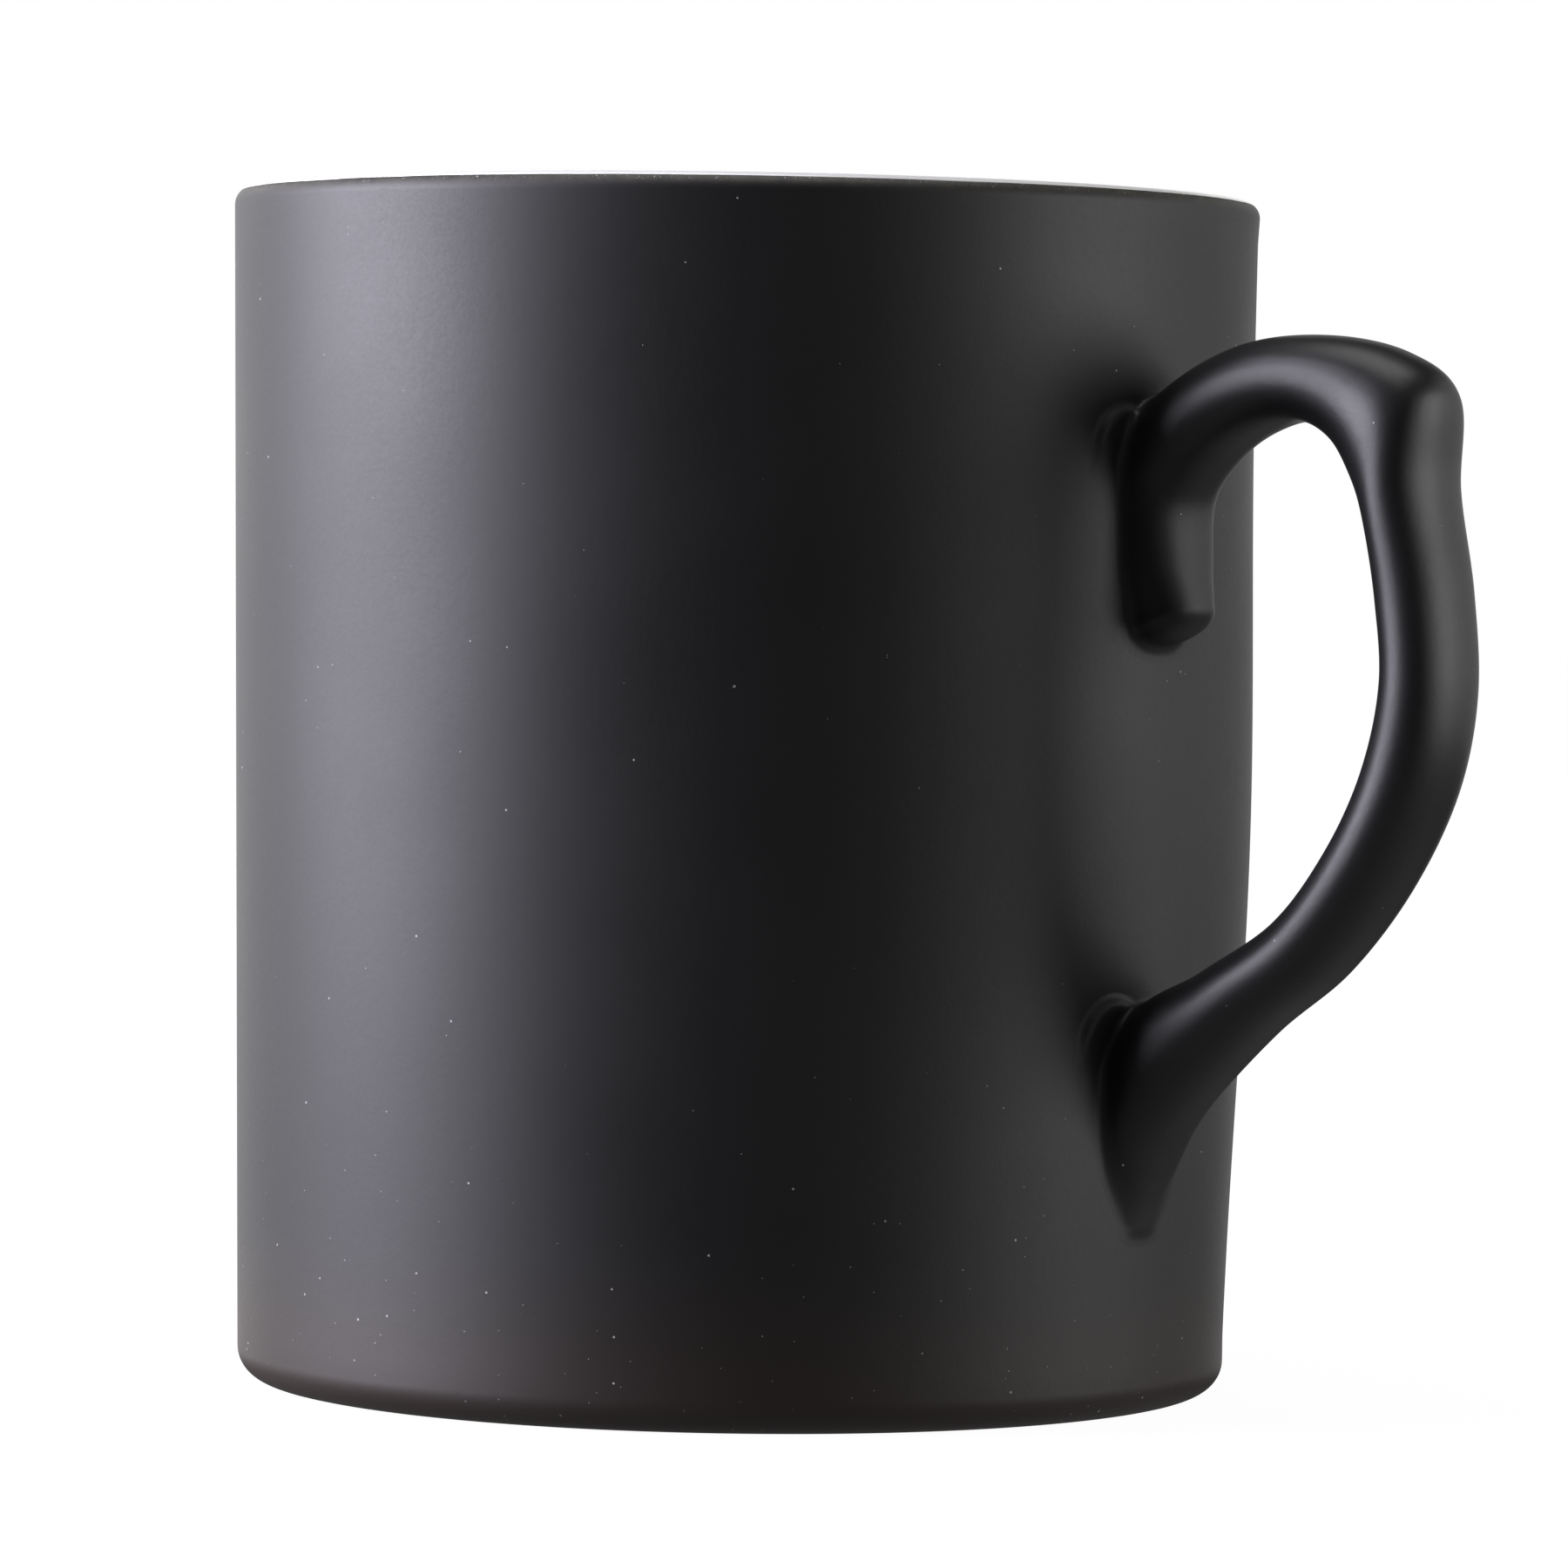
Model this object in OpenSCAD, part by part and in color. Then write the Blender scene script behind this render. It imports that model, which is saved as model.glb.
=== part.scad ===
// Ceramic mug: a glazed stoneware cup with a strap handle luted on at two roots.
// Millimetres. +Z is up, the handle is on +X, and the origin is the centre of the foot ring's resting plane.

/* [Cup] */
// Height from the resting plane to the top of the lip
cup_h = 95; // [85:1:110]
// Outer diameter at the lip
rim_d = 82; // [78:0.5:86]
// Outer diameter that the tapered wall has at the resting plane
foot_d = 79; // [76:0.5:84]
// Wall thickness, with its glaze and coat
wall_t = 4; // [3.4:0.1:5]
// Height of the inside floor above the resting plane
floor_z = 6; // [5:0.5:9]

/* [Foot] */
// Depth of the recess inside the foot ring
recess_h = 1.8; // [1.4:0.1:2.5]
// Width of the flat band that the cup rests on
foot_band = 2.5; // [1.5:0.1:4]

/* [Roundings] */
// Radius of the outer bottom corner
corner_r = 2.6; // [2:0.1:4]
// Radius of the lip's outer edge
lip_out_r = 1.4; // [1:0.1:1.5]
// Radius of the lip's inner edge
lip_in_r = 1.6; // [1:0.1:1.7]
// Radius between the inside wall and the floor
floor_fillet_r = 7; // [4:0.5:12]

/* [Handle] */
// Width of the strap at the grip
strap_w = 9.6; // [8:0.2:12]
// How far the strap stands out from the rim's outer radius
handle_reach = 27; // [24:0.5:32]

/* [Layers] */
// Thickness of the glaze and of the coat
skin_t = 0.2; // [0.15:0.05:0.3]
// How far the slip pads stand proud of the wall
slip_h = 0.6; // [0.4:0.1:1]

/* [Hidden] */
$fn = 96;

rim_r = rim_d / 2;
foot_r = foot_d / 2;
wall_slope = (rim_r - foot_r) / cup_h;
// Lean of the wall from upright, in degrees
lean = atan(wall_slope);

// The coat runs from low on the bottom corner to this angle on the lip's outer rounding
coat_low_deg = -80;
coat_top_deg = 50;

// The recess: its ceiling fillet, and the rounding between its side and the resting band
recess_fillet_r = 0.6;
recess_edge_r = 0.8;
// Centre radius of the bottom corner, where the resting band ends
band_out_r = foot_r + wall_slope * corner_r - corner_r / cos(lean);
recess_r = band_out_r - foot_band - recess_edge_r;

// Steps in each rounding
arc_steps = 8;

// The strap at the size that its stations are given for
station_cup_h = 95;
station_reach = 27;
station_strap_w = 9.6;
station_rim_r = 41;
// Stations along the strap, from the top tail to the bottom tail. Each one crosses the strap:
// [radius and height of the edge away from the fingers, the same for the edge at the fingers, width]
STATIONS = [
    [38.3, 60.6, 44.5, 63.2, 7.6],
    [37.0, 65.0, 43.9, 66.8, 9.6],
    [37.0, 74.5, 44.0, 71.0, 10.6],
    [42.0, 79.7, 46.8, 74.4, 10.4],
    [48.5, 83.0, 50.5, 76.4, 10.0],
    [55.5, 83.7, 54.0, 77.0, 9.8],
    [62.0, 82.5, 57.0, 75.5, 9.8],
    [66.0, 79.5, 59.0, 72.5, 10.2],
    [66.0, 72.5, 60.5, 69.0, 10.0],
    [67.5, 64.5, 61.5, 63.5, 9.6],
    [68.0, 56.5, 62.0, 57.5, 9.6],
    [66.5, 49.0, 60.5, 51.0, 9.6],
    [62.5, 41.5, 57.5, 45.0, 9.8],
    [57.0, 35.0, 53.0, 39.5, 10.0],
    [50.5, 30.0, 46.3, 35.3, 10.4],
    [44.0, 23.5, 39.5, 31.2, 11.0],
    [41.5, 19.0, 35.5, 21.0, 9.0],
    [40.0, 15.0, 37.0, 16.0, 4.0]
];
// Rings between two stations, points round a ring, and rings in each rounded end
span_rings = 3;
ring_points = 28;
end_rings = 4;
// How far each rounded end reaches past its last station
top_end_len = 1.9;
low_end_len = 0.8;
// Power of the strap's rounded section: 2 is an ellipse, and more is squarer
section_power = 2.3;

// Slip pads: their outline's corner circles, as [half spread, height, radius]
UPPER_PAD = [[5.0, 75.0, 3.4], [1.9, 61.3, 2.4]];
LOWER_PAD = [[4.2, 29.2, 3.9], [2.6, 21.5, 2.4], [0.3, 15.6, 2.0]];
pad_near = 20;
pad_reach = 40;

// Radius of the wall's outer face at a height, moved outwards by off
function wall_x(z, off = 0) = foot_r + wall_slope * z + off / cos(lean);
// Radius of the wall's inner face at a height
function inner_x(z) = wall_x(z, -wall_t);

// Points of an arc about [cx, cz]
function arc(cx, cz, r, from, to) =
    [for (i = [0:arc_steps]) let (a = from + (to - from) * i / arc_steps) [cx + r * cos(a), cz + r * sin(a)]];

// The mug's finished outer face, moved inwards by off, from one angle on the bottom corner to one on the lip
function outer_face(off, from, to) = concat(
    arc(band_out_r, corner_r, corner_r - off, from, -lean),
    arc(wall_x(cup_h - lip_out_r, -lip_out_r), cup_h - lip_out_r, lip_out_r - off, -lean, to)
);

// The lip over its outer rounding from one angle, over its inner rounding, down the inside and to the axis
function inner_face(off, from) = concat(
    arc(wall_x(cup_h - lip_out_r, -lip_out_r), cup_h - lip_out_r, lip_out_r - off, from, 90),
    arc(inner_x(cup_h - lip_in_r) + lip_in_r / cos(lean), cup_h - lip_in_r, lip_in_r - off, 90, 180 - lean),
    arc(inner_x(floor_z + floor_fillet_r) - floor_fillet_r / cos(lean), floor_z + floor_fillet_r,
        floor_fillet_r + off, -lean, -90),
    [[0, floor_z - off]]
);

// The recess's ceiling and fillet, moved up by off
function recess_face(off) = concat(
    [[0, recess_h + off]],
    arc(recess_r - recess_fillet_r, recess_h - recess_fillet_r, recess_fillet_r + off, 90, 0)
);

function reversed(points) = [for (i = [len(points) - 1:-1:0]) points[i]];

// The clay under the layers
module cup_body() {
    foot_band_face = concat(
        arc(recess_r + recess_edge_r, recess_edge_r, recess_edge_r, 180, 270),
        arc(band_out_r, corner_r, corner_r, -90, coat_low_deg)
    );
    color("antiquewhite")
        rotate_extrude()
            polygon(concat(
                recess_face(skin_t),
                foot_band_face,
                outer_face(skin_t, coat_low_deg, coat_top_deg),
                inner_face(skin_t, coat_top_deg)
            ));
}

// White glaze on the inside, over the lip and down to the coat's edge
module liner_glaze() {
    color("white")
        rotate_extrude()
            polygon(concat(inner_face(0, coat_top_deg), reversed(inner_face(skin_t, coat_top_deg))));
}

// Glaze on the recess under the floor
module base_glaze() {
    color("whitesmoke")
        rotate_extrude()
            polygon(concat(recess_face(0), reversed(recess_face(skin_t))));
}

// A slip pad's outline, as a prism that crosses the wall at the handle
module pad_prism(corners) {
    translate([pad_near, 0, 0])
        rotate([90, 0, 90])
            linear_extrude(pad_reach)
                hull()
                    for (corner = corners, side = [-1, 1])
                        translate([side * corner[0], corner[1]])
                            circle(corner[2], $fn = 32);
}

// The space inside the wall's outer face, moved outwards by off
module inside_wall(off) {
    cylinder(h = cup_h, r1 = wall_x(0, off), r2 = wall_x(cup_h, off));
}

// Slip between the wall and one root of the handle, which also stands out round it as a bead
module slip_joint(corners) {
    color("dimgray")
        difference() {
            intersection() {
                pad_prism(corners);
                inside_wall(slip_h);
            }
            inside_wall(-skin_t);
        }
}

module upper_slip_joint() {
    slip_joint(UPPER_PAD);
}

module lower_slip_joint() {
    slip_joint(LOWER_PAD);
}

// Satin black coat on the outside, left off under the slip pads
module outer_coat() {
    color("black")
        difference() {
            rotate_extrude()
                polygon(concat(
                    outer_face(0, coat_low_deg, coat_top_deg),
                    reversed(outer_face(skin_t, coat_low_deg, coat_top_deg))
                ));
            pad_prism(UPPER_PAD);
            pad_prism(LOWER_PAD);
        }
}

// One station at the size that is asked for
function sized(station) = let (
    reach_scale = handle_reach / station_reach,
    height_scale = cup_h / station_cup_h
) [
    rim_r + (station[0] - station_rim_r) * reach_scale,
    station[1] * height_scale,
    rim_r + (station[2] - station_rim_r) * reach_scale,
    station[3] * height_scale,
    station[4] * strap_w / station_strap_w
];

SIZED = [for (station = STATIONS) sized(station)];
last = len(SIZED) - 1;
// The curve runs on past each end by a mirrored station
PADDED = concat([2 * SIZED[0] - SIZED[1]], SIZED, [2 * SIZED[last] - SIZED[last - 1]]);

// A point on the smooth curve from b to c, with a and d their neighbours
function curve(a, b, c, d, t) =
    0.5 * (2 * b + (c - a) * t + (2 * a - 5 * b + 4 * c - d) * t * t + (3 * b - a - 3 * c + d) * t * t * t);

ROWS = concat(
    [for (i = [0:last - 1], k = [0:span_rings - 1])
        curve(PADDED[i], PADDED[i + 1], PADDED[i + 2], PADDED[i + 3], k / span_rings)],
    [SIZED[last]]
);

function power_of(v) = sign(v) * pow(abs(v), 2 / section_power);

// A ring of the strap: row is a station, less is taken off its skin, shrink scales it about its middle,
// and shift moves it in the handle's plane
function ring(row, less, shrink, shift) = let (
    middle = [row[0] + row[2], row[1] + row[3]] / 2,
    half = [row[0] - row[2], row[1] - row[3]] / 2,
    half_t = shrink * (1 - less / norm(half)) * half,
    half_w = shrink * (row[4] / 2 - less)
) [
    for (k = [0:ring_points - 1]) let (
        a = 360 * k / ring_points,
        p = middle + shift + half_t * power_of(cos(a))
    ) [p[0], half_w * power_of(sin(a)), p[1]]
];

function middle_of(row) = [row[0] + row[2], row[1] + row[3]] / 2;
function unit(v) = v / norm(v);

// The rings of a rounded end: they shrink to almost nothing while they move on by len
function end_ring_set(row, before, less, len) = let (
    along = unit(middle_of(row) - middle_of(before))
) [
    for (k = [1:end_rings]) let (a = 88 * k / end_rings)
        ring(row, less, cos(a), (len - less) * sin(a) * along)
];

// The strap as one closed skin, with less taken off all round
module strap(less) {
    rings = concat(
        reversed(end_ring_set(ROWS[0], ROWS[1], less, top_end_len)),
        [for (row = ROWS) ring(row, less, 1, [0, 0])],
        end_ring_set(ROWS[len(ROWS) - 1], ROWS[len(ROWS) - 2], less, low_end_len)
    );
    count = len(rings);
    n = ring_points;
    sides = [
        for (i = [0:count - 2], k = [0:n - 1]) let (
            a = i * n + k,
            b = i * n + (k + 1) % n,
            c = b + n,
            d = a + n
        ) each [[a, b, c], [a, c, d]]
    ];
    first_cap = [for (k = [1:n - 2]) [0, k + 1, k]];
    last_cap = [for (k = [1:n - 2]) [(count - 1) * n, (count - 1) * n + k, (count - 1) * n + k + 1]];
    polyhedron([for (r = rings) each r], concat(sides, first_cap, last_cap));
}

// The clay of the handle, from one slip pad to the other
module handle() {
    color("antiquewhite")
        difference() {
            strap(skin_t);
            inside_wall(slip_h);
        }
}

// Satin black coat on the handle
module handle_coat() {
    color("black")
        difference() {
            strap(0);
            strap(skin_t);
            inside_wall(slip_h);
        }
}

cup_body();
handle();
upper_slip_joint();
lower_slip_joint();
outer_coat();
handle_coat();
liner_glaze();
base_glaze();
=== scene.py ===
"""Ceramic mug: the looks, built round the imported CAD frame.

Sizes are in millimetres and angles in degrees until a mesh, a light or the camera is made from them.
The handle's plane is XZ, on +X, as in the CAD model.
"""

import bpy
import numpy as np
from mathutils import Matrix, Vector


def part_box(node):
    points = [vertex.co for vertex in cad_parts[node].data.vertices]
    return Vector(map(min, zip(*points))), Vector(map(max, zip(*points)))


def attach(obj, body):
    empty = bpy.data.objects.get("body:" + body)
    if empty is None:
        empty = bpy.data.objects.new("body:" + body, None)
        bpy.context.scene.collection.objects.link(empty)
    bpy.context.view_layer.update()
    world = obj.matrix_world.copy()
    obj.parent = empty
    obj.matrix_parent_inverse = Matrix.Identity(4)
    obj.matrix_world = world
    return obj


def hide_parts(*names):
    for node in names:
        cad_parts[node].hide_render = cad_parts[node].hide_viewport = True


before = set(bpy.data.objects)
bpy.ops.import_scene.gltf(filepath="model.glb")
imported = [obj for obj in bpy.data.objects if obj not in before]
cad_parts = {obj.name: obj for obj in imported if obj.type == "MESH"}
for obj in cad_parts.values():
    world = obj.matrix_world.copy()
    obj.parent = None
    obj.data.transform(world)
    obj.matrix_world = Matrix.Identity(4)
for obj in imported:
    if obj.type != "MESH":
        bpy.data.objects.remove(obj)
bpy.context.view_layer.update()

MM = 0.001
BODY = "root"
TINY = 1e-6

# ---------------------------------------------------------------- driving sizes, the same as the CAD model's
CUP_H = 95.0
RIM_R = 41.0
FOOT_R = 39.5
WALL_T = 4.0
FLOOR_Z = 6.0
RECESS_H = 1.8
FOOT_BAND = 2.5
CORNER_R = 2.6
LIP_OUT_R = 1.4
LIP_IN_R = 1.6
FLOOR_FILLET_R = 7.0
SKIN_T = 0.2
SLIP_H = 0.6
RECESS_FILLET_R = 0.6
RECESS_EDGE_R = 0.8

SLOPE = (RIM_R - FOOT_R) / CUP_H
LEAN = np.degrees(np.arctan(SLOPE))
COS_LEAN = np.cos(np.radians(LEAN))
BAND_OUT_R = FOOT_R + SLOPE * CORNER_R - CORNER_R / COS_LEAN
RECESS_R = BAND_OUT_R - FOOT_BAND - RECESS_EDGE_R

# The coat's lower and upper edge, as angles on the bottom corner and on the lip's outer rounding
COAT_LOW = -80.0
COAT_TOP = 50.0

# The strap: stations from the top tail to the bottom tail, each [radius and height of the edge away from
# the fingers, the same for the edge at the fingers, width]
STATIONS = np.array([
    [38.3, 60.6, 44.5, 63.2, 7.6],
    [37.0, 65.0, 43.9, 66.8, 9.6],
    [37.0, 74.5, 44.0, 71.0, 10.6],
    [42.0, 79.7, 46.8, 74.4, 10.4],
    [48.5, 83.0, 50.5, 76.4, 10.0],
    [55.5, 83.7, 54.0, 77.0, 9.8],
    [62.0, 82.5, 57.0, 75.5, 9.8],
    [66.0, 79.5, 59.0, 72.5, 10.2],
    [66.0, 72.5, 60.5, 69.0, 10.0],
    [67.5, 64.5, 61.5, 63.5, 9.6],
    [68.0, 56.5, 62.0, 57.5, 9.6],
    [66.5, 49.0, 60.5, 51.0, 9.6],
    [62.5, 41.5, 57.5, 45.0, 9.8],
    [57.0, 35.0, 53.0, 39.5, 10.0],
    [50.5, 30.0, 46.3, 35.3, 10.4],
    [44.0, 23.5, 39.5, 31.2, 11.0],
    [41.5, 19.0, 35.5, 21.0, 9.0],
    [40.0, 15.0, 37.0, 16.0, 4.0],
])
TOP_END_LEN = 1.9
LOW_END_LEN = 0.8
SECTION_POWER = 2.3

# How the coat blends from the strap into the wall: the fillet's reach, and the slip bead that stands round
# each root, as its height, where its outer edge rolls off and where the skin dips under the body's coat
FILLET = 0.9
SKIRT_LIFT = 0.012
SKIRT_DIP = 0.045
SKIRT_FROM = 1.0
SKIRT_END = 1.7
# The slip pad at each root: half the distance between its two round corners, their height and their radius,
# and the heights between which it grows from nothing
UPPER_PAD = (5.0, 75.0, 3.4, 73.0, 76.5)
LOWER_PAD = (4.2, 29.2, 3.9, 27.5, 31.0)
PAD_H = 0.5
PAD_ROLL = 0.75
# The height between the two roots
MID_GAP = 45.0
# How far the strap and the wall stay inside the CAD model's true curves, because its facets cut them short
STRAP_IN = 0.03
WALL_IN = 0.005

# Where the body's wall swells beside the handle: its height, how much the wall above and below it draws in,
# the turn and height of its middle, and how far it reaches round and up
SWELL_H = 1.0
SWELL_DRAW = 0.2
SWELL_TURN = 34.0
SWELL_Z = 44.0
SWELL_ROUND = 24.0
SWELL_UP = 26.0

# How finely the meshes are cut: sides of a revolved shell, steps of an arc, rows up the wall and across the
# floor, and the cell size of the nets
SEGMENTS = 384
ARC_STEPS = 14
WALL_ROWS = 50
FLOOR_ROWS = 20
BAND_ROWS = 6
COAT_NET = 0.3
CLAY_NET = 0.6
SLIP_NET = 0.25
# Room round a piece's box in which its net is made
NET_ROOM = 1.0

# How far the coat's edges wander, in degrees, and what their random waves start from
EDGE_WAVES = (5, 9, 14, 23, 37, 61, 90)
TOP_WANDER = 2.2
TOP_SEED = 3
LOW_WANDER = 1.5
LOW_SEED = 4
# How much narrower than its outer face the coat's inner face is at its two edges
EDGE_BEVEL_TOP = 3.0
EDGE_BEVEL_LOW = 1.0

# ---------------------------------------------------------------- the camera's place
VIEW_TURN = -52.5
CAMERA_AWAY = 605.3
CAMERA_H = 66.4
CAMERA_PAN = 0.34
CAMERA_PITCH = 1.74
CAMERA_ROLL = 0.91
CAMERA_LENS = 173.3


def smooth(low, high, value):
    """0 below low, 1 above high, and a smooth step between."""
    t = np.clip((value - low) / (high - low), 0, 1)
    return t * t * (3 - 2 * t)


# ---------------------------------------------------------------- the cup's outlines
def arc(cx, cz, r, start, end, steps=ARC_STEPS):
    """Points on a circle round [cx, cz], with both ends."""
    a = np.radians(np.linspace(start, end, steps + 1))
    return np.stack([cx + r * np.cos(a), cz + r * np.sin(a)], 1)


def line(start, end, steps):
    """Points between two ends, without the ends."""
    t = np.linspace(0, 1, steps + 1)[1:-1, None]
    return np.asarray(start) * (1 - t) + np.asarray(end) * t


def swell(turn, z):
    """How far the outer wall stands out from its cone at a turn, in degrees, and a height."""
    off_turn = (turn - SWELL_TURN + 180) % 360 - 180
    share = np.exp(-((off_turn / SWELL_ROUND) ** 2))
    ends = smooth(0, 2 * CORNER_R, z) * (1 - smooth(CUP_H - 2 * LIP_OUT_R, CUP_H, z))
    return share * (SWELL_H * np.exp(-(((z - SWELL_Z) / SWELL_UP) ** 2)) - SWELL_DRAW) * ends


def swollen(turn, outline):
    """An outer outline with the wall's swell at a turn, in radians."""
    outline[:, 0] += swell(np.degrees(turn), outline[:, 1])
    return outline


def joined(*parts):
    """Arcs one after another; a number between two of them is how many steps their straight link gets."""
    out = [parts[0]]
    for steps, part in zip(parts[1::2], parts[2::2]):
        out += [line(out[-1][-1], part[0], steps), part]
    return np.concatenate(out)


def wall_x(z, off=0.0):
    """Radius of the wall's outer face at a height, moved outwards by off."""
    return FOOT_R - WALL_IN + SLOPE * z + off / COS_LEAN


def inner_x(z):
    """Radius of the wall's inner face at a height."""
    return wall_x(z, -WALL_T)


def outer_face(off, low, top):
    """The mug's outer face moved inwards by off, from an angle on the bottom corner to one on the lip."""
    lip_z = CUP_H - LIP_OUT_R
    return joined(
        arc(BAND_OUT_R, CORNER_R, CORNER_R - off, low, -LEAN),
        WALL_ROWS,
        arc(wall_x(lip_z, -LIP_OUT_R), lip_z, LIP_OUT_R - off, -LEAN, top),
    )


def inner_face(off, start):
    """The lip from an angle on its outer rounding, over the top, down the inside and to the axis."""
    lip_z = CUP_H - LIP_OUT_R
    in_z = CUP_H - LIP_IN_R
    fillet_z = FLOOR_Z + FLOOR_FILLET_R
    return joined(
        arc(wall_x(lip_z, -LIP_OUT_R), lip_z, LIP_OUT_R - off, start, 90),
        1,
        arc(inner_x(in_z) + LIP_IN_R / COS_LEAN, in_z, LIP_IN_R - off, 90, 180 - LEAN),
        WALL_ROWS,
        arc(inner_x(fillet_z) - FLOOR_FILLET_R / COS_LEAN, fillet_z, FLOOR_FILLET_R + off, -LEAN, -90),
        FLOOR_ROWS,
        np.array([[0, FLOOR_Z - off]]),
    )


def recess_face(off):
    """The recess's ceiling, from the axis to its fillet, moved up by off."""
    return joined(
        np.array([[0, RECESS_H + off]]),
        FLOOR_ROWS,
        arc(RECESS_R - RECESS_FILLET_R, RECESS_H - RECESS_FILLET_R, RECESS_FILLET_R + off, 90, 0),
    )


# ---------------------------------------------------------------- meshes
def mesh_object(name, points, faces):
    """A smooth-shaded object from points in millimetres."""
    mesh = bpy.data.meshes.new(name)
    mesh.from_pydata((np.asarray(points) * MM).tolist(), [], faces)
    mesh.validate()
    mesh.shade_smooth()
    obj = bpy.data.objects.new(name, mesh)
    bpy.context.scene.collection.objects.link(obj)
    return obj


def lathe(name, outline):
    """A closed solid of revolution. outline(turn) gives its loop of [radius, height], anticlockwise."""
    turns = np.arange(SEGMENTS) * 2 * np.pi / SEGMENTS
    loops = np.array([outline(turn) for turn in turns])
    count = loops.shape[1]
    pole = loops[0, :, 0] < TINY
    points, index = [], np.zeros((SEGMENTS, count), int)
    for i in range(count):
        radius, height = loops[:, i, 0], loops[:, i, 1]
        ring = np.stack([radius * np.cos(turns), radius * np.sin(turns), height], 1)
        index[:, i] = len(points) + (0 if pole[i] else np.arange(SEGMENTS))
        points += ring[:1].tolist() if pole[i] else ring.tolist()
    faces = []
    for i in range(count):
        j = (i + 1) % count
        if pole[i] and pole[j]:
            continue
        for s in range(SEGMENTS):
            t = (s + 1) % SEGMENTS
            corners = [index[s, i], index[t, i], index[t, j], index[s, j]]
            faces.append([c for k, c in enumerate(corners) if c not in corners[:k]])
    return mesh_object(name, points, faces)


def shell(outer, inner):
    """The loop of a closed shell between two open outlines that run the same way."""
    return np.concatenate([outer, inner[::-1]])


# ---------------------------------------------------------------- the strap as a distance field
LAST = len(STATIONS) - 1
PADDED = np.vstack([2 * STATIONS[0] - STATIONS[1], STATIONS, 2 * STATIONS[-1] - STATIONS[-2]])
# The map of nearest places: tries between two stations, room round the stations, and grid step
COARSE = 12
MAP_ROOM = 8.0
MAP_STEP = 0.25
# How a place is then refined: rounds, the step for its slope, and the longest move in a round
REFINE_ROUNDS = 4
REFINE_STEP = 0.01
REFINE_MOST = 0.1
FLAT_SLOPE = 1e-3


def station(u):
    """The strap's row at a place along it, from 0 to LAST, on a smooth curve through the stations."""
    i = np.clip(np.floor(u).astype(int), 0, LAST - 1)
    t = (u - i)[:, None]
    a, b, c, d = PADDED[i], PADDED[i + 1], PADDED[i + 2], PADDED[i + 3]
    return 0.5 * (2 * b + (c - a) * t + (2 * a - 5 * b + 4 * c - d) * t**2 + (3 * b - a - 3 * c + d) * t**3)


def rung(u, x, z):
    """Where [x, z] lies on the strap's cross-section at u: along it, off it, and its half sizes."""
    row = station(u)
    middle = (row[:, 0:2] + row[:, 2:4]) / 2
    half = (row[:, 0:2] - row[:, 2:4]) / 2
    half_t = np.hypot(half[:, 0], half[:, 1])
    way = half / half_t[:, None]
    dx, dz = x - middle[:, 0], z - middle[:, 1]
    return way[:, 0] * dx + way[:, 1] * dz, way[:, 0] * dz - way[:, 1] * dx, half_t, row[:, 4] / 2


def coarse_map():
    """A grid of [x, z] in the handle's plane with, at each of its points, the nearest coarse place."""
    low = STATIONS[:, [0, 1]].min(0) - MAP_ROOM
    high = STATIONS[:, [0, 1]].max(0) + MAP_ROOM
    shape = np.ceil((high - low) / MAP_STEP).astype(int) + 1
    x, z = np.meshgrid(*[a + MAP_STEP * np.arange(n) for a, n in zip(low, shape)], indexing="ij")
    x, z = x.ravel(), z.ravel()
    best, place = np.full(len(x), np.inf), np.zeros(len(x))
    for u in np.arange(LAST * COARSE + 1) / COARSE:
        along, across, half_t, _ = rung(np.array([u]), x, z)
        gap = across**2 + np.maximum(np.abs(along) - half_t, 0) ** 2
        closer = gap < best
        best[closer], place[closer] = gap[closer], u
    return low, place.reshape(shape)


MAP_LOW, MAP = coarse_map()


def nearest_rung(x, z):
    """The place along the strap whose cross-section passes through each [x, z]."""
    i = np.clip(np.rint((x - MAP_LOW[0]) / MAP_STEP).astype(int), 0, MAP.shape[0] - 1)
    j = np.clip(np.rint((z - MAP_LOW[1]) / MAP_STEP).astype(int), 0, MAP.shape[1] - 1)
    place = MAP[i, j]
    for _ in range(REFINE_ROUNDS):
        here = rung(place, x, z)[1]
        there = rung(np.clip(place + REFINE_STEP, 0, LAST), x, z)[1]
        slope = (there - here) / REFINE_STEP
        move = np.where(np.abs(slope) > FLAT_SLOPE, -here / slope, 0)
        place = np.clip(place + np.clip(move, -REFINE_MOST, REFINE_MOST), 0, LAST)
    return place


def strap_distance(p):
    """About how far each point is outside the strap's skin, in millimetres."""
    place = nearest_rung(p[:, 0], p[:, 2])
    along, across, half_t, half_w = rung(place, p[:, 0], p[:, 2])
    end_len = np.where(place < LAST / 2, TOP_END_LEN, LOW_END_LEN)
    a, b, c = np.abs(along) / half_t, np.abs(p[:, 1]) / half_w, np.abs(across) / end_len
    flat = np.maximum((a**SECTION_POWER + b**SECTION_POWER) ** (1 / SECTION_POWER), TINY)
    full = np.hypot(flat, c)
    slope_a = (a / flat) ** (SECTION_POWER - 1) / half_t
    slope_b = (b / flat) ** (SECTION_POWER - 1) / half_w
    slope = np.sqrt((flat / full) ** 2 * (slope_a**2 + slope_b**2) + (c / full / end_len) ** 2)
    return (full - 1) / np.maximum(slope, FLAT_SLOPE) + STRAP_IN


def wall_distance(p):
    """How far each point is outside the cup's outer wall."""
    swollen = swell(np.degrees(np.arctan2(p[:, 1], p[:, 0])), p[:, 2])
    return (np.hypot(p[:, 0], p[:, 1]) - swollen - wall_x(p[:, 2])) * COS_LEAN


def pad_distance(p, pad):
    """How far each point is outside a slip pad's outline, seen from the handle's side."""
    spread, middle, radius = pad[:3]
    return np.hypot(np.abs(p[:, 1]) - spread, np.maximum(p[:, 2] - middle, 0)) - radius


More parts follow.
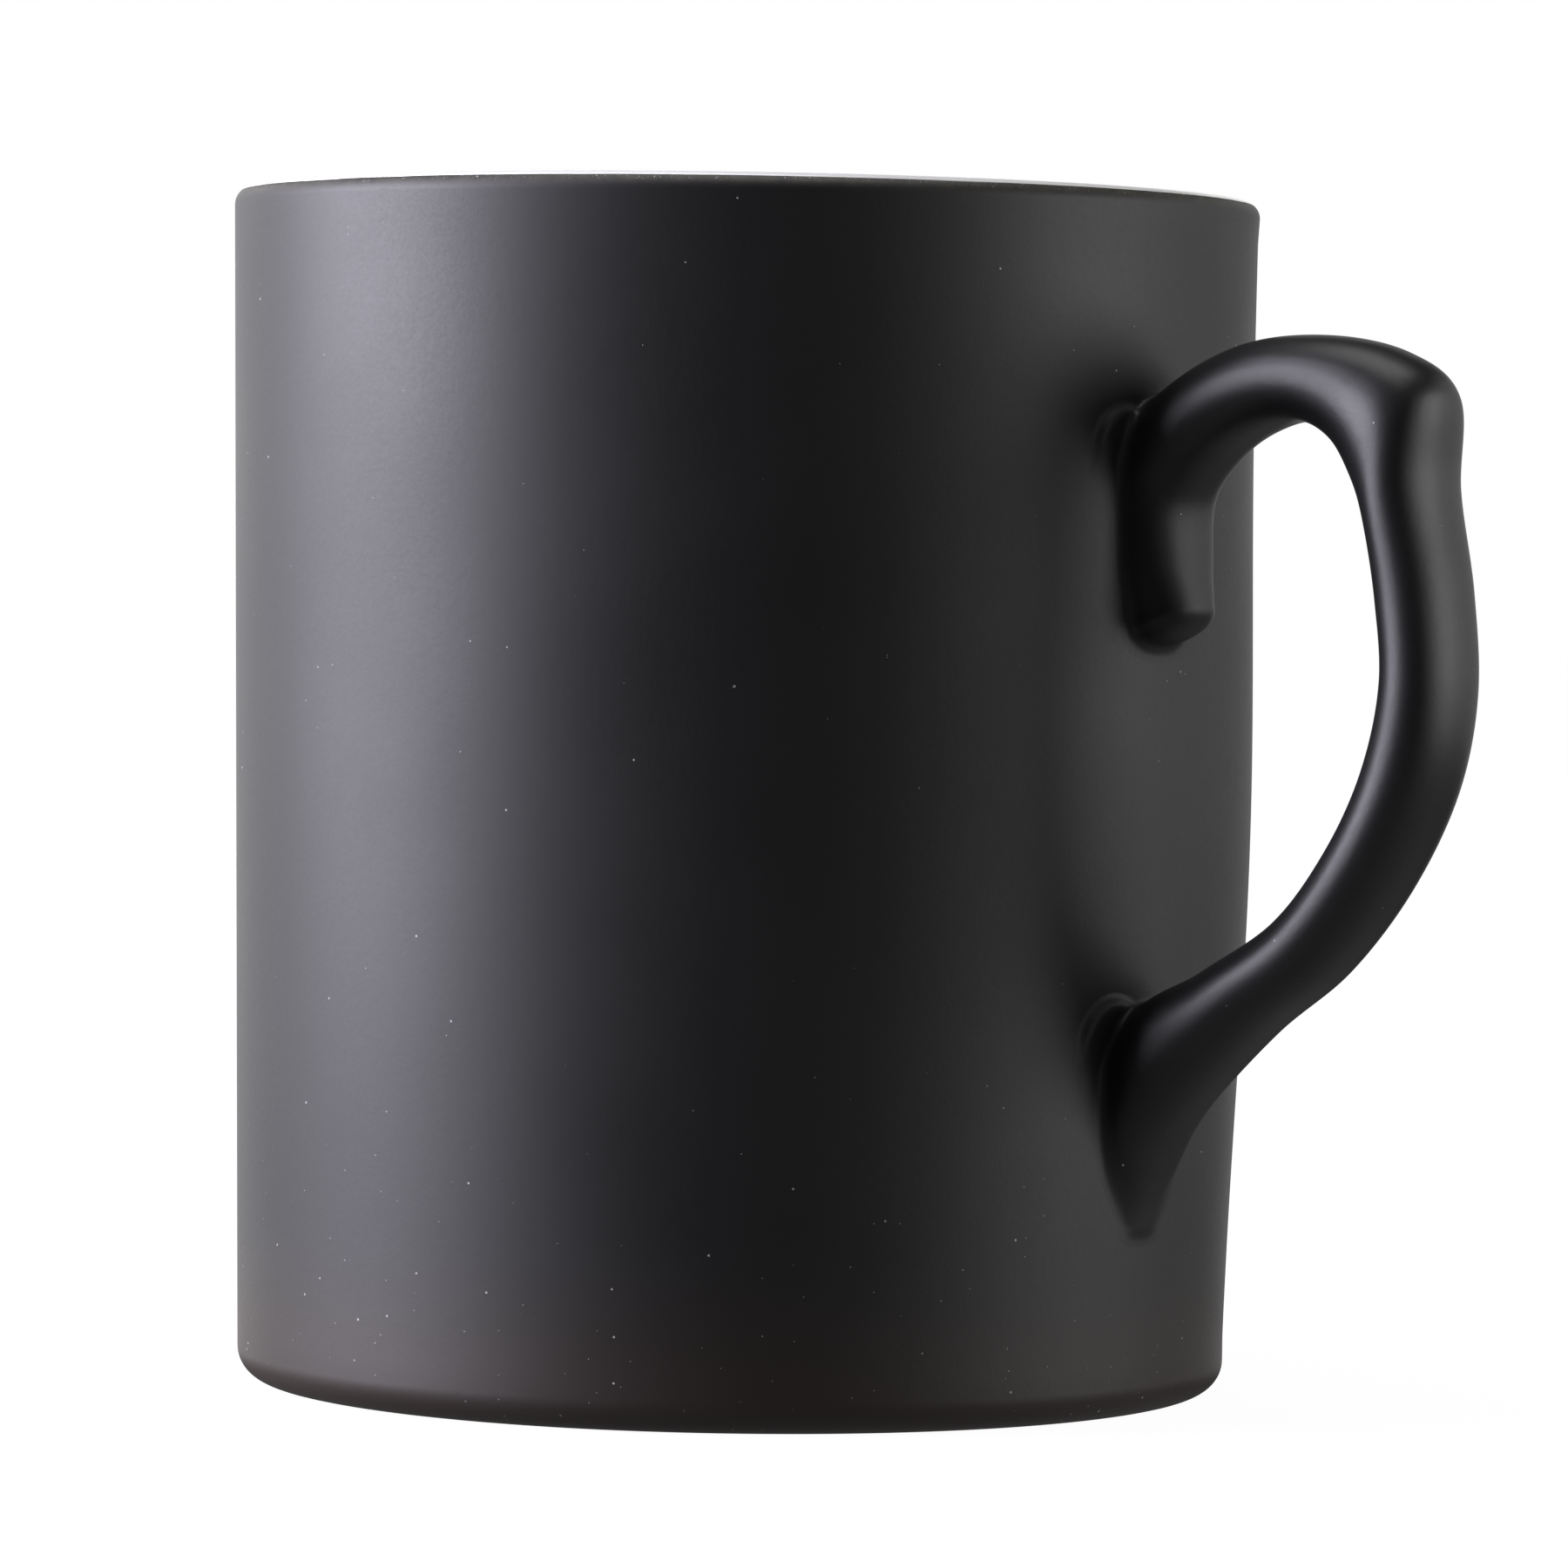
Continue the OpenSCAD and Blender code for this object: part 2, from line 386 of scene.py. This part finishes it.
def pad_edge(p):
    """Distance from the outline of the pad that is nearer."""
    return np.where(p[:, 2] > MID_GAP, pad_distance(p, UPPER_PAD), pad_distance(p, LOWER_PAD))


def grown_share(p):
    """1 where the pads have their full height, down to 0 beside the tails."""
    return np.where(p[:, 2] > MID_GAP, smooth(*UPPER_PAD[3:], p[:, 2]), smooth(*LOWER_PAD[3:], p[:, 2]))


def bead(p):
    """Height of the slip pad over the wall."""
    return PAD_H * grown_share(p) * (1 - smooth(-PAD_ROLL, 0, pad_edge(p)))


def skirt(p, strap):
    """Distance outside the strap or the pad, whichever is nearer."""
    end = np.where(p[:, 2] > MID_GAP, UPPER_PAD[3], LOWER_PAD[3]) - p[:, 2]
    return np.minimum(strap, np.maximum(pad_edge(p), end) + SKIRT_FROM)


def soft_min(a, b, reach):
    """The smaller of two distances, with a fillet where they are close to each other."""
    h = np.maximum(reach - np.abs(a - b), 0) / reach
    return np.minimum(a, b) - h * h * reach / 4


def coat_field(p):
    """Zero on the coat's skin over the strap, the pads and the wall next to them."""
    strap = strap_distance(p)
    sunk = SKIRT_DIP * smooth(SKIRT_FROM, SKIRT_END, skirt(p, strap)) - SKIRT_LIFT
    return soft_min(strap, wall_distance(p) - bead(p) + sunk, FILLET)


def clay_field(p):
    """Zero on the handle's clay, which ends on the slip."""
    return np.maximum(strap_distance(p) + SKIN_T, SLIP_H - wall_distance(p))


def slip_field(p):
    """Zero on the slip between the wall's clay and the handle's clay."""
    strap = strap_distance(p)
    wall = wall_distance(p)
    top = np.where(strap < -SKIN_T, SLIP_H, bead(p) - SKIN_T)
    return np.maximum(np.maximum(wall - top, -wall - SKIN_T), np.minimum(strap, pad_edge(p)))


# ---------------------------------------------------------------- a mesh on a field's zero
def surface_net(field, low, high, step):
    """Quads over the zero of a field in a box, by the surface-nets method."""
    axes = [np.arange(a, b + step, step) for a, b in zip(low, high)]
    grid = np.stack(np.meshgrid(*axes, indexing="ij"), -1)
    value = field(grid.reshape(-1, 3)).reshape(grid.shape[:3])
    inside = value < 0
    cells = tuple(n - 1 for n in value.shape)
    total, hits = np.zeros(cells + (3,)), np.zeros(cells)
    corner = [np.array(c) for c in np.ndindex(2, 2, 2)]
    for a in corner:
        for b in corner:
            if (b - a).sum() != 1 or np.abs(b - a).sum() != 1:
                continue
            at_a = tuple(slice(o, o + n) for o, n in zip(a, cells))
            at_b = tuple(slice(o, o + n) for o, n in zip(b, cells))
            cross = inside[at_a] != inside[at_b]
            va, vb = value[at_a][cross], value[at_b][cross]
            t = (va / (va - vb))[:, None]
            total[cross] += grid[at_a][cross] * (1 - t) + grid[at_b][cross] * t
            hits[cross] += 1
    used = hits > 0
    number = np.full(cells, -1)
    number[used] = np.arange(used.sum())
    points = total[used] / hits[used][:, None]
    faces = []
    for axis in range(3):
        u, v = (axis + 1) % 3, (axis + 2) % 3
        at = [slice(1, n - 1) for n in value.shape]
        at[axis] = slice(0, value.shape[axis] - 1)
        ahead = list(at)
        ahead[axis] = slice(1, value.shape[axis])
        first, second = inside[tuple(at)], inside[tuple(ahead)]
        where = np.argwhere(first != second) + [s.start for s in at]
        leaves = inside[tuple(where.T)]
        ring = []
        for du, dv in ((-1, -1), (0, -1), (0, 0), (-1, 0)):
            cell = where.copy()
            cell[:, u] += du
            cell[:, v] += dv
            ring.append(number[tuple(cell.T)])
        ring = np.stack(ring, 1)
        ring[~leaves] = ring[~leaves][:, ::-1]
        faces.append(ring)
    return points, np.concatenate(faces)


def gradient(field, p, h=0.02):
    """The field's slope at each point, from its values h to either side."""
    out = np.zeros_like(p)
    for k in range(3):
        d = np.zeros(3)
        d[k] = h
        out[:, k] = (field(p + d) - field(p - d)) / (2 * h)
    return out


def onto(field, p, most=0.3):
    """Points moved along the field's slope to its zero."""
    slope = gradient(field, p)
    size = np.maximum((slope**2).sum(1), TINY)[:, None]
    move = -field(p)[:, None] * slope / size
    length = np.linalg.norm(move, axis=1)[:, None]
    return p + move * np.minimum(1, most / np.maximum(length, TINY))


def relaxed(points, faces, field, rounds):
    """Evens out a net and puts it back on its field."""
    a = faces.ravel()
    b = np.roll(faces, -1, 1).ravel()
    count = np.bincount(a, minlength=len(points)) + np.bincount(b, minlength=len(points))
    for _ in range(rounds):
        total = np.zeros_like(points)
        np.add.at(total, a, points[b])
        np.add.at(total, b, points[a])
        points = onto(field, points * 0.5 + 0.5 * total / count[:, None])
    return onto(field, points)


def kept_faces(points, faces, keep):
    """The faces whose corners are all kept, and only their points."""
    faces = faces[keep[faces].all(1)]
    used = np.unique(faces)
    number = np.full(len(points), -1)
    number[used] = np.arange(len(used))
    return points[used], number[faces]


def net_box(node, room):
    """A node's corners in the frame with room round them, and inwards past the wall at its widest."""
    low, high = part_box(node)
    low, high = np.array(low) / MM - room, np.array(high) / MM + room
    low[0] = wall_x(low[2]) * np.cos(np.arcsin(high[1] / RIM_R)) - NET_ROOM
    return low, high


def strap_box():
    """The handle's corners, with room for the bead and its skirt."""
    skirt_room = 2 * SKIRT_END + NET_ROOM
    return net_box("handle_coat", np.array([NET_ROOM, skirt_room, skirt_room]))


# ---------------------------------------------------------------- materials
COAT_BLACK = (0.0055, 0.0054, 0.006, 1)
COAT_BLACK_CLOUD = (0.0075, 0.0074, 0.008, 1)
# Colour of the painted reflection of a warm table, laid on the coat towards the foot
COAT_TABLE_REFLECTION = (0.024, 0.015, 0.011, 1)
# Colour of the painted highlight on the coat's rounded edge at the lip
COAT_LIP_HIGHLIGHT = (0.052, 0.047, 0.037, 1)
COAT_DUST = (0.42, 0.41, 0.40, 1)
GLAZE_WHITE = (0.80, 0.80, 0.775, 1)
GLAZE_WHITE_CLOUD = (0.84, 0.84, 0.825, 1)
GLAZE_POOL = (0.78, 0.775, 0.73, 1)
GLAZE_PINHOLE = (0.30, 0.27, 0.23, 1)
CLAY_PALE = (0.74, 0.69, 0.61, 1)
CLAY_DARK = (0.66, 0.60, 0.51, 1)
SLIP_PALE = (0.50, 0.46, 0.40, 1)
SLIP_DARK = (0.42, 0.38, 0.33, 1)
CLAY_IRON = (0.28, 0.20, 0.13, 1)
CLAY_RUBBED = (0.34, 0.32, 0.30, 1)
GLASSY_IOR = 1.5
CLAY_IOR = 1.45

# Heights between which the coat changes: the painted reflection of a warm table towards the foot, the coarse
# and the fine dust, the painted highlight on the lip's edge and the white flecks on it, and the radii
# between which the handle's coat is smoother from use
TABLE_REFLECTION_HEIGHTS = (1.0, 16.0)
COARSE_DUST = (3.0, 30.0)
FINE_DUST = (2.0, 30.0)
LIP_HIGHLIGHT_HEIGHTS = (CUP_H - 1.2, CUP_H - 0.5)
FLECKED_EDGE = (CUP_H - 0.85, CUP_H - 0.38)
HELD = (43.0, 50.0)
# Heights between which the glaze pools on the cup's floor, and those of the wear under the foot
POOL = (FLOOR_Z, FLOOR_Z + 5.0)
RESTING = (0.02, 0.12)
# The part of a noise's values that most of it lies between
NOISE_RANGE = (0.3, 0.7)
# The Mix node's sockets for its share, its two colours and its result, by number because their names repeat
MIX_SHARE = 0
MIX_FIRST = 6
MIX_SECOND = 7
MIX_RESULT = 2


class Look:
    """A node material whose patterns lie in the frame's own coordinates, in millimetres."""

    def __init__(self, name, **sockets):
        self.material = bpy.data.materials.new(name)
        self.material.use_nodes = True
        self.tree = self.material.node_tree
        self.shader = self.tree.nodes["Principled BSDF"]
        for socket, value in sockets.items():
            self.shader.inputs[socket.replace("_", " ")].default_value = value
        metres = self.add("ShaderNodeTexCoord").outputs["Object"]
        self.place = self.vector("SCALE", {0: metres, "Scale": 1 / MM}).outputs["Vector"]
        self.height = self.add("ShaderNodeSeparateXYZ", {0: self.place}).outputs["Z"]
        flat = self.vector("MULTIPLY", {0: self.place, 1: (1, 1, 0)}).outputs["Vector"]
        self.radius = self.length(flat)

    def add(self, kind, sockets=None, **settings):
        """A new node with its settings and its sockets' values or links."""
        node = self.tree.nodes.new(kind)
        for setting, value in settings.items():
            setattr(node, setting, value)
        for socket, value in (sockets or {}).items():
            self.put(node.inputs[socket], value)
        return node

    def put(self, socket, value):
        """Links an output to a socket, or sets its value."""
        if isinstance(value, bpy.types.NodeSocket):
            self.tree.links.new(value, socket)
        else:
            socket.default_value = value

    def vector(self, operation, sockets):
        return self.add("ShaderNodeVectorMath", sockets, operation=operation)

    def length(self, vector):
        """How long a vector is, such as a place's distance from the origin."""
        return self.vector("LENGTH", {0: vector}).outputs["Value"]

    def noise(self, per_mm, detail=2.0, roughness=0.5):
        sockets = {"Vector": self.place, "Scale": per_mm, "Detail": detail, "Roughness": roughness}
        return self.add("ShaderNodeTexNoise", sockets).outputs["Fac"]

    def math(self, operation, a, b):
        return self.add("ShaderNodeMath", {0: a, 1: b}, operation=operation).outputs[0]

    def step(self, value, low, high, out_low=0.0, out_high=1.0):
        """A smooth step of a value from one range to another."""
        sockets = {"Value": value, 1: low, 2: high, 3: out_low, 4: out_high}
        return self.add("ShaderNodeMapRange", sockets, interpolation_type="SMOOTHSTEP").outputs[0]

    def spread(self, noise, low, high):
        """A noise brought to the range from low to high."""
        return self.step(noise, *NOISE_RANGE, low, high)

    def mix(self, share, a, b):
        """A colour between two colours."""
        node = self.add("ShaderNodeMix", data_type="RGBA")
        self.put(node.inputs[MIX_SHARE], share)
        self.put(node.inputs[MIX_FIRST], a)
        self.put(node.inputs[MIX_SECOND], b)
        return node.outputs[MIX_RESULT]

    def dots(self, per_mm, radius, share):
        """1 in scattered round dots: a share of the pattern's cells holds one. share may be a socket."""
        cells = self.add("ShaderNodeTexVoronoi", {"Vector": self.place, "Scale": per_mm})
        random = self.add("ShaderNodeSeparateColor", {0: cells.outputs["Color"]}).outputs[0]
        chosen = self.math("LESS_THAN", random, share)
        near = self.step(cells.outputs["Distance"], radius * per_mm * 0.6, radius * per_mm, 1.0, 0.0)
        return self.math("MULTIPLY", chosen, near)

    def bump(self, height, depth_mm, below=None):
        """A height pattern as a normal, over another bump if there is one below it."""
        sockets = {"Height": height, "Distance": depth_mm * MM, "Strength": 1.0}
        if below is not None:
            sockets["Normal"] = below
        return self.add("ShaderNodeBump", sockets).outputs[0]

    def finish(self, **sockets):
        """Sets or links the shader's own sockets and gives the material."""
        for socket, value in sockets.items():
            self.put(self.shader.inputs[socket.replace("_", " ")], value)
        return self.material


def black_coat():
    """Satin black coat: a faint orange peel, cloudy roughness, pale dust specks, a painted reflection of a
    warm table as a brown tint towards the foot, a handle that is smoother from use, and a patchy painted
    highlight on the thin edge of the coat at the lip."""
    look = Look("black_coat", IOR=GLASSY_IOR)
    cloud = look.noise(per_mm=0.06, detail=3.0)
    black = look.mix(cloud, COAT_BLACK, COAT_BLACK_CLOUD)
    # Painted reflection: a brown tint towards the foot stands in for a warm table mirrored in the coat
    with_table_reflection = look.mix(look.step(look.height, *TABLE_REFLECTION_HEIGHTS, 0.8, 0.0), black, COAT_TABLE_REFLECTION)
    specks = look.dots(per_mm=0.62, radius=0.11, share=look.step(look.height, *COARSE_DUST, 0.4, 0.12))
    dust = look.dots(per_mm=1.7, radius=0.05, share=look.step(look.height, *FINE_DUST, 0.16, 0.015))
    marks = look.math("MAXIMUM", specks, dust)
    flecks = look.step(look.noise(per_mm=4.5, detail=3.0, roughness=0.7), 0.62, 0.68)
    flecks = look.math("MULTIPLY", flecks, look.step(look.height, *FLECKED_EDGE))
    marks = look.math("MAXIMUM", marks, flecks)
    patchy = look.step(look.noise(per_mm=1.1, detail=4.0, roughness=0.6), 0.25, 0.75, 0.4, 1.0)
    # Painted highlight: a patchy lighter band on the lip's rounding stands in for the light it reflects
    lip_highlight = look.math("MULTIPLY", look.step(look.height, *LIP_HIGHLIGHT_HEIGHTS), patchy)
    edge = look.mix(lip_highlight, with_table_reflection, COAT_LIP_HIGHLIGHT)
    colour = look.mix(marks, edge, COAT_DUST)
    grain = look.noise(per_mm=3.2, detail=3.0, roughness=0.6)
    rough = look.math("ADD", look.spread(cloud, 0.50, 0.535), look.spread(grain, -0.015, 0.02))
    rough = look.math("ADD", rough, look.step(look.radius, *HELD, 0.0, -0.09))
    peel = look.bump(look.noise(per_mm=1.25, detail=2.0, roughness=0.55), depth_mm=0.0075)
    fine = look.bump(grain, 0.007, peel)
    return look.finish(Base_Color=colour, Roughness=rough, Normal=look.bump(marks, 0.02, fine))


def white_glaze():
    """Gloss white glaze: slow waves, a little pooling colour and a few pinholes."""
    look = Look("white_glaze", IOR=GLASSY_IOR)
    white = look.mix(look.noise(per_mm=0.07, detail=3.0), GLAZE_WHITE, GLAZE_WHITE_CLOUD)
    pooled = look.mix(look.step(look.height, *POOL, 0.35, 0.0), white, GLAZE_POOL)
    holes = look.dots(per_mm=0.35, radius=0.11, share=0.35)
    colour = look.mix(holes, pooled, GLAZE_PINHOLE)
    rough = look.spread(look.noise(per_mm=0.5), 0.11, 0.19)
    waves = look.bump(look.noise(per_mm=0.16), depth_mm=0.05)
    peel = look.bump(look.noise(per_mm=1.1), 0.003, waves)
    return look.finish(Base_Color=colour, Roughness=rough, Normal=look.bump(holes, -0.03, peel))


def bare_clay(name, pale, dark, wear):
    """Unglazed fired clay: grain, iron specks and, on the resting band, grey wear."""
    look = Look(name, IOR=CLAY_IOR)
    clay = look.mix(look.noise(per_mm=0.12, detail=4.0), pale, dark)
    specked = look.mix(look.dots(per_mm=0.9, radius=0.12, share=0.4), clay, CLAY_IRON)
    rub = look.noise(per_mm=0.9, detail=3.0)
    rubbed = look.math("MULTIPLY", look.step(look.height, *RESTING, wear, 0.0), rub)
    colour = look.mix(rubbed, specked, CLAY_RUBBED)
    grain = look.noise(per_mm=4.0, detail=4.0, roughness=0.65)
    rough = look.spread(grain, 0.78, 0.92)
    return look.finish(Base_Color=colour, Roughness=rough, Normal=look.bump(grain, depth_mm=0.03))


# ---------------------------------------------------------------- pieces
def piece(obj, material, slot, *nodes):
    """Gives an object its material and its place in the frame."""
    obj.data.materials.clear()
    obj.data.materials.append(material)
    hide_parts(*nodes)
    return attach(obj, BODY)


def wobble(turn, seed, size):
    """A small, uneven swing round the cup, the same each time."""
    random = np.random.default_rng(seed)
    out = 0.0
    for waves in EDGE_WAVES:
        out += random.normal() * np.sin(waves * turn + random.uniform(0, 2 * np.pi)) / waves**0.5
    return size * out


def coat_outline(turn):
    """The coat on the body's outside, whose two edges wander."""
    top = COAT_TOP + wobble(turn, TOP_SEED, TOP_WANDER)
    low = COAT_LOW + wobble(turn, LOW_SEED, LOW_WANDER)
    inner = outer_face(SKIN_T, low + EDGE_BEVEL_LOW, top - EDGE_BEVEL_TOP)
    return swollen(turn, shell(outer_face(0, low, top), inner))


def liner_outline(_):
    """The glaze on the inside and the lip, the same at every turn."""
    return shell(inner_face(0, COAT_TOP), inner_face(SKIN_T, COAT_TOP))


def base_outline(_):
    """The glaze in the recess under the cup, the same at every turn."""
    return shell(recess_face(SKIN_T)[::-1], recess_face(0)[::-1])


def clay_outline(turn):
    """The cup's clay: recess, bare foot ring, outside, lip and inside."""
    ring = joined(
        arc(RECESS_R + RECESS_EDGE_R, RECESS_EDGE_R, RECESS_EDGE_R, 180, 270),
        BAND_ROWS,
        arc(BAND_OUT_R, CORNER_R, CORNER_R, -90, COAT_LOW, steps=4),
    )
    outside = swollen(turn, outer_face(SKIN_T, COAT_LOW, COAT_TOP))
    return np.concatenate([recess_face(SKIN_T), ring, outside, inner_face(SKIN_T, COAT_TOP)])


def handle_skin(material):
    """The coat over the strap, the bead and a skirt of wall, as one closed skin."""
    points, faces = surface_net(coat_field, *strap_box(), COAT_NET)
    points, faces = kept_faces(points, faces, skirt(points, strap_distance(points)) < SKIRT_END + COAT_NET)
    points = relaxed(points, faces, coat_field, rounds=3)
    points, faces = kept_faces(points, faces, skirt(points, strap_distance(points)) < SKIRT_END)
    skin = mesh_object("handle_coat_skin", points, faces.tolist())
    solid = skin.modifiers.new("coat", "SOLIDIFY")
    solid.thickness = SKIN_T * MM
    solid.offset = -1
    return piece(skin, material, "black_coat", "handle_coat")


def handle_clay(material):
    """The handle's clay under its coat."""
    points, faces = surface_net(clay_field, *strap_box(), CLAY_NET)
    points = relaxed(points, faces, clay_field, rounds=1)
    return piece(mesh_object("handle_clay", points, faces.tolist()), material, "bare_clay", "handle")


def slip(name, node, material):
    """The slip pad at one of the handle's two roots."""
    points, faces = surface_net(slip_field, *net_box(node, NET_ROOM), SLIP_NET)
    points = relaxed(points, faces, slip_field, rounds=1)
    return piece(mesh_object(name, points, faces.tolist()), material, "black_coat", node)


def build_mug():
    coat = black_coat()
    glaze = white_glaze()
    clay = bare_clay("bare_clay", CLAY_PALE, CLAY_DARK, wear=0.8)
    luting = bare_clay("slip", SLIP_PALE, SLIP_DARK, wear=0.0)
    piece(lathe("cup_clay", clay_outline), clay, "bare_clay", "cup_body")
    piece(lathe("body_coat", coat_outline), coat, "black_coat", "outer_coat")
    piece(lathe("liner", liner_outline), glaze, "white_glaze", "liner_glaze")
    piece(lathe("recess_glaze", base_outline), glaze, "white_glaze", "base_glaze")
    handle_skin(coat)
    handle_clay(clay)
    slip("upper_slip", "upper_slip_joint", luting)
    slip("lower_slip", "lower_slip_joint", luting)


# ---------------------------------------------------------------- floor, light and camera
# The floor: its radius and sides, and the distances between which it brightens to its full glow
FLOOR_R = 3000.0
FLOOR_SIDES = 96
FLOOR_GREY = (0.05, 0.05, 0.05, 1)
FLOOR_SHADED = (150.0, 420.0)
FLOOR_GLOW_NEAR = 0.97

WHITE = (1, 1, 1)
DAYLIGHT = (0.99, 0.97, 1.11)
# What reflections and shadows see where there is no light
DARK_ROOM = (0.025, 0.025, 0.027, 1)
# The lights that stand round the mug: name, turn from the camera's direction (right is above 0), distance,
# lowest and highest edge, width, radiance, colour and how much they light matt surfaces
PANELS = [
    ("left_window", -85, 620, 30, 400, 490, 15.8, DAYLIGHT, 0.15),
    ("left_upper", -84, 620, 400, 800, 560, 4.5, DAYLIGHT, 0.1),
    ("left_table", -88, 620, -260, 30, 700, 0.9, DAYLIGHT, 0.15),
    ("left_back", -134, 620, -100, 400, 450, 1.2, WHITE, 0.1),
    ("right_window", 83, 700, -60, 400, 420, 3.3, WHITE, 0.3),
    ("right_fill", 57, 700, -60, 500, 320, 0.9, WHITE, 0.3),
    ("right_back", 124, 700, -60, 500, 320, 0.8, WHITE, 0.3),
    ("backdrop", 180, 900, -150, 500, 1260, 0.9, WHITE, 0.0),
]
# The square lights over and under the mug: side and height, both in metres, radiance and matt share
OVERHEAD = (0.9, 1.2, 2.4, 0.5)
UNDERNEATH = (2.0, -0.4, 0.19, 0.5)


def build_floor():
    """A pale floor that can be seen through from below, so that the mug's underside shows."""
    turns = np.arange(FLOOR_SIDES) * 2 * np.pi / FLOOR_SIDES
    ring = np.stack([FLOOR_R * np.cos(turns), FLOOR_R * np.sin(turns), 0 * turns], 1)
    floor = mesh_object("floor", ring, [list(range(FLOOR_SIDES))])
    look = Look("pale_floor", Roughness=0.9, Specular_IOR_Level=0.0, Emission_Color=(*WHITE, 1))
    glow = look.step(look.length(look.place), *FLOOR_SHADED, FLOOR_GLOW_NEAR, 1.0)
    material = look.finish(Base_Color=FLOOR_GREY, Emission_Strength=glow)
    below = look.add("ShaderNodeNewGeometry").outputs["Backfacing"]
    clear = look.add("ShaderNodeBsdfTransparent").outputs[0]
    surface = look.add("ShaderNodeMixShader", {0: below, 1: look.shader.outputs[0], 2: clear}).outputs[0]
    look.put(look.tree.nodes["Material Output"].inputs["Surface"], surface)
    floor.data.materials.append(material)
    floor.visible_glossy = False
    floor.visible_diffuse = False
    floor.visible_shadow = False


def area_light(name, wide, high, radiance, colour, diffuse):
    """A rectangular light that the camera doesn't see. Its sides are in metres."""
    light = bpy.data.lights.new(name, "AREA")
    light.shape = "RECTANGLE"
    light.size = wide
    light.size_y = high
    light.energy = radiance * np.pi * wide * high
    light.color = colour
    light.diffuse_factor = diffuse
    obj = bpy.data.objects.new(name, light)
    obj.visible_camera = False
    bpy.context.scene.collection.objects.link(obj)
    return obj


def panel(name, turn, away, low, high, width, radiance, colour, diffuse):
    """A light that stands beside the mug and faces its axis."""
    a = np.radians(VIEW_TURN + turn)
    obj = area_light(name, width * MM, (high - low) * MM, radiance, colour, diffuse)
    obj.location = Vector((np.cos(a), np.sin(a), 0)) * away * MM
    obj.rotation_euler = obj.location.to_track_quat("Z", "Y").to_euler()
    obj.location.z = (low + high) / 2 * MM


def square_light(name, side, height, radiance, diffuse):
    """A level light that shines towards the mug from a height above or below it."""
    obj = area_light(name, side, side, radiance, WHITE, diffuse)
    obj.location.z = height
    obj.rotation_euler.x = np.pi if height < 0 else 0


def build_lights():
    for row in PANELS:
        panel(*row)
    square_light("top_soft", *OVERHEAD)
    square_light("table_glow", *UNDERNEATH)


def build_world():
    """White to the camera, and a dark room to everything else."""
    world = bpy.data.worlds.new("studio")
    world.use_nodes = True
    bpy.context.scene.world = world
    tree = world.node_tree
    back = tree.nodes["Background"]
    paths = tree.nodes.new("ShaderNodeLightPath")
    mix = tree.nodes.new("ShaderNodeMix")
    mix.data_type = "RGBA"
    mix.inputs[MIX_FIRST].default_value = DARK_ROOM
    mix.inputs[MIX_SECOND].default_value = (*WHITE, 1)
    tree.links.new(paths.outputs["Is Camera Ray"], mix.inputs[MIX_SHARE])
    tree.links.new(mix.outputs[MIX_RESULT], back.inputs["Color"])


def build_camera():
    """The camera, turned, pitched and rolled a little from looking level at the mug's axis."""
    turn = np.radians(VIEW_TURN)
    toward = Vector((np.cos(turn), np.sin(turn), 0))
    right = Vector((-np.sin(turn), np.cos(turn), 0))
    pan, pitch, roll = np.radians([CAMERA_PAN, CAMERA_PITCH, CAMERA_ROLL])
    up = Vector((0, 0, 1))
    ahead = (right * np.sin(pan) - toward * np.cos(pan)) * np.cos(pitch) - up * np.sin(pitch)
    level = right * np.cos(pan) + toward * np.sin(pan)
    over = level.cross(ahead)
    side = level * np.cos(roll) + over * np.sin(roll)
    head = over * np.cos(roll) - level * np.sin(roll)
    data = bpy.data.cameras.new("camera")
    data.lens = CAMERA_LENS
    data.clip_start = 0.01
    camera = bpy.data.objects.new("camera", data)
    axes = Matrix((side, head, -ahead)).transposed().to_4x4()
    camera.matrix_world = Matrix.Translation(toward * CAMERA_AWAY * MM + up * CAMERA_H * MM) @ axes
    bpy.context.scene.collection.objects.link(camera)
    bpy.context.scene.camera = camera


build_mug()
build_floor()
build_lights()
build_world()
build_camera()
bpy.context.scene.view_settings.view_transform = "Standard"
